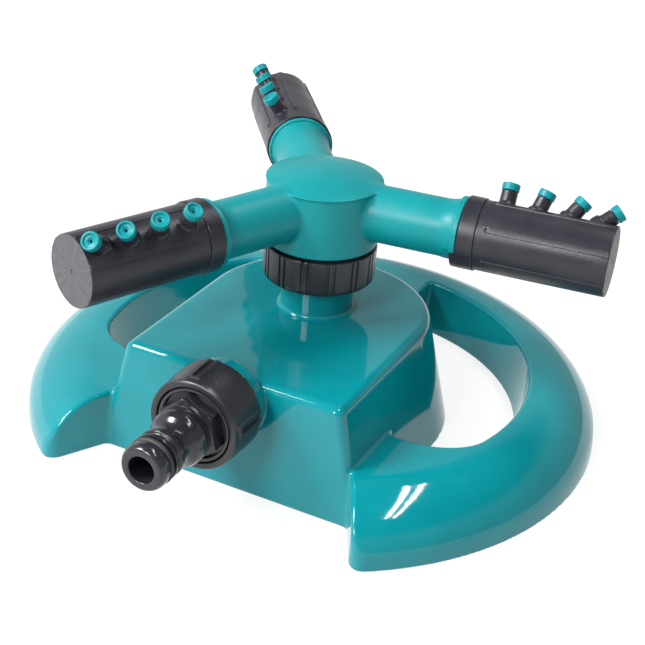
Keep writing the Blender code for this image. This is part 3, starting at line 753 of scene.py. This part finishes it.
def strip_height(turn, along):
    """How far the raised strips stand up at a place on the head."""
    rise = np.zeros_like(turn)
    dimple = np.zeros_like(turn)
    for middle in STRIP_TURNS:
        across = off_mark(turn, middle) * HEAD_R
        before = np.maximum(STRIP_START - along, 0.0)
        outside = hypot(across, before) - STRIP_HALF * HEAD_R
        rise = np.maximum(rise, np.clip(0.5 - outside / STRIP_EDGE, 0.0, 1.0))
        spot = hypot(across, along - STRIP_START + 0.1)
        dimple = np.maximum(dimple, np.clip(1.0 - spot / DIMPLE_R, 0.0, 1.0))
    return STRIP_RISE * rise - DIMPLE_DEPTH * dimple


def head_turns():
    """Angles round a head, with close rows at each strip's edges."""
    marks = []
    for middle in STRIP_TURNS:
        for edge in (-1.0, 1.0):
            for shift in (-0.09, 0.0, 0.09):
                marks.append(middle + edge * STRIP_HALF + shift / HEAD_R)
        marks += [middle + share * STRIP_HALF for share in (-0.5, -0.25, 0.0, 0.25, 0.5)]
    return turns_with(marks, math.radians(3.0))


def head_sleeve():
    """The sleeve with its collar, seam groove and strips; closed at the outer end."""
    outer = [(0.0, HEAD_END), (HEAD_R - 0.45, HEAD_END), (HEAD_R - 0.12, HEAD_END - 0.13)]
    outer += [(HEAD_R, HEAD_END - 0.5)]
    steps = [106.0, 100.0, 95.0, 90.0, 85.0, 80.0, 75.0, 71.0, 68.5]
    steps += [STRIP_START + 0.24 * k for k in range(6, -16, -1)]
    outer += [(HEAD_R, s) for s in steps]
    outer += [(HEAD_R, COLLAR_END + 0.25), (HEAD_R - 0.30, COLLAR_END + 0.18)]
    outer += [(HEAD_R - 0.30, COLLAR_END + 0.02), (COLLAR_R - 0.2, COLLAR_END)]
    outer += [(COLLAR_R, COLLAR_END - 0.2), (COLLAR_R, HEAD_START + 0.25)]
    outer += [(COLLAR_R - 0.25, HEAD_START), (HEAD_BORE_R + 0.2, HEAD_START)]
    outer += [(HEAD_BORE_R, HEAD_START + 0.2), (HEAD_BORE_R, HEAD_END - 2.6), (0.0, HEAD_END - 2.6)]
    outer.reverse()

    def raised(turn, r, h):
        skin_only = (np.abs(r - HEAD_R) < 0.01) & (h > COLLAR_END + 0.3)
        return r + np.where(skin_only, strip_height(turn, h), 0.0), h

    return lathe(outer, head_turns(), raised)


def stem_and_cap(index):
    """One spout's stem and its nozzle cap, each as a lathe about the spout's axis."""
    lean = index * SPOUT_LEAN
    reach = SPOUT_ROOT_R / math.cos(lean)
    top = reach + 4.6
    foot = reach - 3.4
    flare = [(3.95, reach - 0.62), (3.5, reach - 0.1), (3.22, reach + 0.35)]
    stem = [(0.0, foot), (4.0, foot)] + flare + [(3.12, reach + 1.0), (3.08, top - 0.15)]
    stem += [(2.95, top), (2.0, top), (2.0, top - 2.8), (0.0, top - 2.8)]

    def faceted(turn, r, h):
        flat = 1.0 - 0.022 * np.abs(np.sin(4.0 * turn)) ** 3
        return np.where((h > reach + 0.3) & (r > 2.5), r * flat, r), h

    base = top + 0.3
    cap = [(0.5, base - 2.8), (1.55, base - 2.8), (1.65, base - 2.7), (1.65, base), (3.15, base)]
    cap += [(3.34, base + 0.16), (3.36, base + 2.40), (3.27, base + 2.62), (3.02, base + 2.78)]
    cap += [(2.66, base + 2.80), (2.46, base + 2.70), (2.34, base + 2.42), (2.22, base + 2.18)]
    cap += [(1.96, base + 2.10), (1.20, base + 2.06), (1.04, base + 1.98), (0.92, base + 1.72)]
    cap += [(0.66, base + 1.62), (0.5, base + 1.5)]

    def fluted(turn, r, h):
        side = (r > 3.2) & (h > base + 0.1)
        return np.where(side, r - 0.05 * np.abs(np.sin(6.0 * turn)) ** 4, r), h

    return lathe(stem, even_turns(48), faceted), lathe(cap, even_turns(72), fluted)


def spout_matrix(bearing, index):
    """Local Z along a spout, starting on the head's own axis."""
    lean = index * SPOUT_LEAN
    along = SPOUT_START + SPOUT_PITCH * index - SPOUT_ROOT_R * math.tan(lean)
    side = Vector((-math.sin(HEAD_TILT), math.cos(HEAD_TILT), 0.0))
    out = Vector((math.cos(HEAD_TILT) * math.cos(lean),
                  math.sin(HEAD_TILT) * math.cos(lean), math.sin(lean)))
    start = arm_matrix(bearing) @ Matrix.Translation((0.0, 0.0, along))
    return start @ with_axes(side, side.cross(out), out)


def stop_tab():
    """The tab on the collar that limits the head's twist, turned through a sector."""
    corners = [(11.5, 53.6), (13.6, 53.6), (13.6, 56.9), (11.5, 56.9)]
    profile = softened(corners, [0.1, 0.25, 0.1, 0.1], 2)
    points = []
    for i in range(TAB_STEPS + 1):
        turn = TAB_FROM + (TAB_TO - TAB_FROM) * i / TAB_STEPS
        points += [(r * math.cos(turn), r * math.sin(turn), h) for r, h in profile]
    size = len(profile)
    faces = []
    for i in range(TAB_STEPS):
        for j in range(size):
            k = (j + 1) % size
            faces.append((i * size + j, (i + 1) * size + j, (i + 1) * size + k, i * size + k))
    faces.append(tuple(range(size)))
    faces.append(tuple(TAB_STEPS * size + j for j in reversed(range(size))))
    return np.array(points), faces


def gate_mark():
    """The small stub left in the middle of a head's end face."""
    mark = [(0.0, HEAD_END - 0.3), (0.75, HEAD_END - 0.3), (0.75, HEAD_END + 0.10)]
    mark += [(0.55, HEAD_END + 0.2), (0.0, HEAD_END + 0.2)]
    return lathe(mark, even_turns(16))


def spray_head(number, bearing):
    """One head with its stems, and its four caps."""
    body = "head_%d" % number
    laid = arm_matrix(bearing)
    shells = [head_sleeve(), stop_tab(), gate_mark()]
    parts = [(turned_by(points, laid), faces) for points, faces in shells]
    for index in range(SPOUTS):
        stem, cap = stem_and_cap(index)
        place = spout_matrix(bearing, index)
        parts.append((turned_by(stem[0], place), stem[1]))
        label = "%d_%d" % (number, index + 1)
        solid_piece("nozzle_" + label, turned_by(cap[0], place), cap[1], CAP_TEAL, body,
                    ["nozzle_cap_" + label])
    points, faces = combined(parts)
    piece = solid_piece(body + "_moulding", points, faces, BLACK, body,
                        ["spray_head_%d" % number])
    mesh = piece.data
    mesh.materials.append(end_face_plastic(bearing))
    out = Vector((math.cos(bearing), math.sin(bearing), 0.0))
    origin = Vector((0.0, ROTOR_Y * MM, ARM_Z * MM))
    reach = (HEAD_END - 0.12) * MM
    for face in mesh.polygons:
        if (face.center - origin).dot(out) > reach and face.normal.dot(out) > 0.9:
            face.material_index = 1


for number, bearing in enumerate(BEARINGS, 1):
    spray_head(number, bearing)


# Rotor nut

NUT_FOOT = 59.7
NUT_TOP = 73.8
NUT_R = 22.0
NUT_GROUPS = 14
NUT_PHASE = math.radians(-77.6)
NUT_GROOVE = (0.75, 1.75)
NUT_GROOVE_DEPTH = 0.55


def rotor_nut():
    """The ring nut, with pairs of grooves between wide flats."""
    middles = [NUT_PHASE + math.tau * i / NUT_GROUPS for i in range(NUT_GROUPS)]
    near, far = NUT_GROOVE
    marks = []
    for middle in middles:
        for edge in (-far, -near, near, far):
            marks += [middle + (edge + shift) / NUT_R for shift in (-0.12, 0.12)]
    profile = [(9.6, NUT_FOOT), (20.6, NUT_FOOT), (21.2, NUT_FOOT + 0.25), (21.7, NUT_FOOT + 0.9)]
    profile += [(21.9, NUT_FOOT + 2.2), (22.0, NUT_TOP - 4.0), (22.1, NUT_TOP - 1.0)]
    profile += [(22.05, NUT_TOP - 0.45), (21.8, NUT_TOP - 0.12), (21.4, NUT_TOP), (18.7, NUT_TOP)]
    profile += [(18.4, NUT_TOP - 0.3), (18.4, NUT_FOOT + 3.0), (9.6, NUT_FOOT + 3.0)]

    def grooved(turn, r, h):
        deep = np.zeros_like(turn)
        for middle in middles:
            off = np.abs(off_mark(turn, middle) * NUT_R)
            deep = np.where((off > near) & (off < far), NUT_GROOVE_DEPTH, deep)
        side = (r > 21.1) & (h > NUT_FOOT + 0.2) & (h < NUT_TOP - 0.2)
        return np.where(side, r - deep, r), h

    points, faces = lathe(profile, turns_with(marks, math.radians(4.0)), grooved)
    solid_piece("rotor_ring_nut", points.T, faces, NUT_BLACK, "rotor",
                ["rotor_nut"], 30.0)


rotor_nut()


# Inlet: union nut, nose and its ring, all turned about the inlet axis

INLET = with_axes((1.0, 0.0, 0.0), (0.0, 0.0, 1.0), (0.0, -1.0, 0.0), (0.0, 0.0, INLET_Z))
UNION_FRONT = 92.8
UNION_BACK = 74.9
UNION_R = 17.6
LOOPS = 4
LOOP_PHASE = math.radians(96.0)
LOOP_HALF = 2.6
LOOP_INSIDE = 1.1
LOOP_RISE = 0.55
LOOP_GROOVE = 1.05
HEX_HALF = 10.75
HEX_PHASE = math.radians(20.0)
HEX_TURN = math.tau / 6.0


def union_nut():
    """The hand nut, with four raised grip loops round it."""
    middles = [LOOP_PHASE + math.tau * i / LOOPS for i in range(LOOPS)]
    marks = []
    for middle in middles:
        for edge in (-LOOP_HALF, -LOOP_INSIDE, LOOP_INSIDE, LOOP_HALF):
            marks += [middle + (edge + shift) / UNION_R for shift in (-0.2, 0.2)]
    front = UNION_FRONT
    back = UNION_BACK
    profile = [(13.3, back), (16.6, back), (17.4, back + 0.35), (17.8, back + 1.2)]
    profile += [(17.85, back + 4.0), (17.75, back + 8.0), (17.6, back + 12.0), (17.5, front - 4.6)]
    profile += [(17.5, front - 3.8), (17.45, front - 2.8), (17.45, front - 2.0)]
    profile += [(17.35, front - 1.0), (17.2, front - 0.4), (16.8, front - 0.05), (15.5, front)]
    profile += [(14.95, front - 0.15), (14.7, front - 0.5), (14.7, front - 5.8)]
    profile += [(13.3, front - 5.8)]

    def looped(turn, r, h):
        lift = np.zeros_like(turn)
        rise = LOOP_RISE * np.clip((front - 2.0 - h) / 0.8, 0.0, 1.0)
        groove = LOOP_GROOVE * np.clip((front - 3.8 - h) / 0.8, 0.0, 1.0)
        for middle in middles:
            off = np.abs(off_mark(turn, middle) * UNION_R)
            lift = np.where(off < LOOP_HALF, rise, lift)
            lift = np.where(off < LOOP_INSIDE, rise - groove, lift)
        side = (r > 17.1) & (h > back + 1.0)
        return np.where(side, r + lift, r), h

    points, faces = lathe(profile, turns_with(marks, math.radians(3.0)), looped)
    solid_piece("union_hand_nut", turned_by(points, INLET), faces, NUT_BLACK, "union",
                ["union_nut"], 30.0)


def hose_nose():
    """The quick-connector nose and the flange that the union nut holds."""
    tip = NOSE_TIP
    flange = UNION_FRONT - 0.5
    profile = [(5.0, 86.9), (12.7, 86.9), (12.7, flange - 5.0), (14.2, flange - 5.0)]
    profile += [(14.2, flange), (13.0, flange), (12.8, flange - 0.4), (12.7, flange - 2.0)]
    profile += [(12.4, flange - 2.0)]
    outline = [(12.4, 29.0), (12.0, 28.6), (9.9, 28.4), (9.9, 27.6), (10.3, 26.1)]
    outline += [(10.75, 24.3), (10.6, 22.3), (9.9, 20.5), (8.6, 18.9), (7.8, 17.5)]
    outline += [(7.7, 15.7), (8.2, 14.3), (8.9, 13.5), (8.9, 11.5), (7.9, 11.1), (7.9, 9.9)]
    outline += [(8.9, 9.5), (8.9, 8.2), (6.7, 8.1), (6.7, 4.7), (8.7, 4.6), (8.75, 2.5)]
    outline += [(8.5, 1.3), (7.9, 0.3), (7.3, 0.0), (5.3, 0.0), (5.0, 0.3)]
    profile += [(radius, tip - back) for radius, back in outline]

    def hexagonal(turn, r, h):
        off = (turn + HEX_PHASE) % HEX_TURN - HEX_TURN / 2.0
        collar = (r > 11.5) & (r < 12.55) & (h > flange - 2.5) & (h < tip - 28.5)
        return np.where(collar, np.minimum(r, HEX_HALF / np.cos(off)), r), h

    rounded = softened(profile, [0.30] * len(profile), 2)
    points, faces = lathe(rounded, even_turns(180), hexagonal)
    solid_piece("hose_nose", turned_by(points, INLET), faces, NOSE_BLACK, "base",
                ["hose_adapter"])


def nose_o_ring():
    """The ring in the nose's groove."""
    middle_r, middle_h, thick = 7.9, NOSE_TIP - 6.4, 1.12
    section = [(middle_r + thick * math.cos(a), middle_h + thick * math.sin(a))
               for a in even_turns(16)]
    points, faces = lathe(section, even_turns(64))
    solid_piece("nose_o_ring", turned_by(points, INLET), faces, SEAL, "base",
                ["nose_ring"])


union_nut()
hose_nose()
nose_o_ring()


# Floor, light and camera

OBJECT_MIDDLE = (0.0, 0.0, 0.03)


def floor():
    """A pale floor with a slight glow, so that shadows on it stay faint."""
    mesh = bpy.data.meshes.new("floor")
    reach = 6.0
    corners = [(-1, -1), (1, -1), (1, 1), (-1, 1)]
    points = [(reach * x, reach * y, 0.0) for x, y in corners]
    mesh.from_pydata(points, [], [(0, 1, 2, 3)])
    ground = bpy.data.objects.new("floor", mesh)
    bpy.context.scene.collection.objects.link(ground)
    material, shader = node_material("pale_floor")
    cloud = uneven(material, 3.0, 3.0, 0.0, 1.0)
    shade = two_tone(material, cloud, (0.20, 0.20, 0.20), (0.22, 0.22, 0.22))
    wire(material, shade, shader.inputs["Base Color"])
    shader.inputs["Roughness"].default_value = 0.6
    shader.inputs["Emission Color"].default_value = (1.0, 1.0, 1.0, 1.0)
    shader.inputs["Emission Strength"].default_value = 0.80
    mesh.materials.append(material)


def area_light(name, place, target, size, power, turn=0.0):
    """A flat light aimed at a point, turned about its own axis."""
    data = bpy.data.lights.new(name, "AREA")
    data.shape = "RECTANGLE"
    data.size = size[0]
    data.size_y = size[1]
    data.energy = power
    light = bpy.data.objects.new(name, data)
    light.location = place
    aim = Vector(target) - Vector(place)
    spin = Matrix.Rotation(math.radians(turn), 4, "Z")
    light.rotation_euler = (aim.to_track_quat("-Z", "Y").to_matrix().to_4x4() @ spin).to_euler()
    bpy.context.scene.collection.objects.link(light)


def surroundings():
    """A white backdrop all round, up to a dim ceiling, and lighter on the left."""
    world = bpy.data.worlds.new("studio_surround")
    world.use_nodes = True
    background = world.node_tree.nodes["Background"]
    background.inputs["Color"].default_value = (1.0, 1.0, 1.0, 1.0)
    split = add_node(world, "ShaderNodeSeparateXYZ")
    wire(world, add_node(world, "ShaderNodeTexCoord").outputs["Generated"], split.inputs["Vector"])
    overhead = ramp(world, split.outputs["Z"], 0.50, 0.62, 0.46, 0.05)
    left = ramp(world, split.outputs["X"], 0.0, -0.9, 0.0, 0.40)
    total = add_node(world, "ShaderNodeMath")
    wire(world, overhead, total.inputs[0])
    wire(world, left, total.inputs[1])
    wire(world, total.outputs["Value"], background.inputs["Strength"])
    bpy.context.scene.world = world


def camera():
    """A close view from the front right and above, with the inlet towards the left."""
    azimuth = math.radians(25.013)
    elevation = math.radians(28.172)
    roll = math.radians(4.329)
    back = Vector((math.sin(azimuth) * math.cos(elevation),
                   -math.cos(azimuth) * math.cos(elevation), math.sin(elevation)))
    level = Vector((math.cos(azimuth), math.sin(azimuth), 0.0))
    upright = back.cross(level)
    right = level * math.cos(roll) + upright * math.sin(roll)
    up = upright * math.cos(roll) - level * math.sin(roll)
    data = bpy.data.cameras.new("camera")
    data.sensor_width = 36.0
    data.lens = 82.623
    data.clip_start = 0.01
    view = bpy.data.objects.new("camera", data)
    spot = Vector((0.22203, ROTOR_Y * MM - 0.46848, 0.31528))
    view.matrix_world = with_axes(right, up, back, spot)
    bpy.context.scene.collection.objects.link(view)
    bpy.context.scene.camera = view


floor()
area_light("key", (-0.70, -0.60, 0.95), OBJECT_MIDDLE, size=(0.45, 0.45), power=24.0)
area_light("front", (-0.15, -1.10, 0.75), OBJECT_MIDDLE, size=(0.40, 0.40), power=13.5)
for name, x, y in (("left_tube", 0.36, 0.16), ("right_tube", 0.40, 0.20)):
    area_light(name, (x, y, 1.10), (x, y, 0.0), size=(1.05, 0.020), power=4.0, turn=126.0)
surroundings()
camera()
bpy.context.scene.view_settings.view_transform = "Standard"
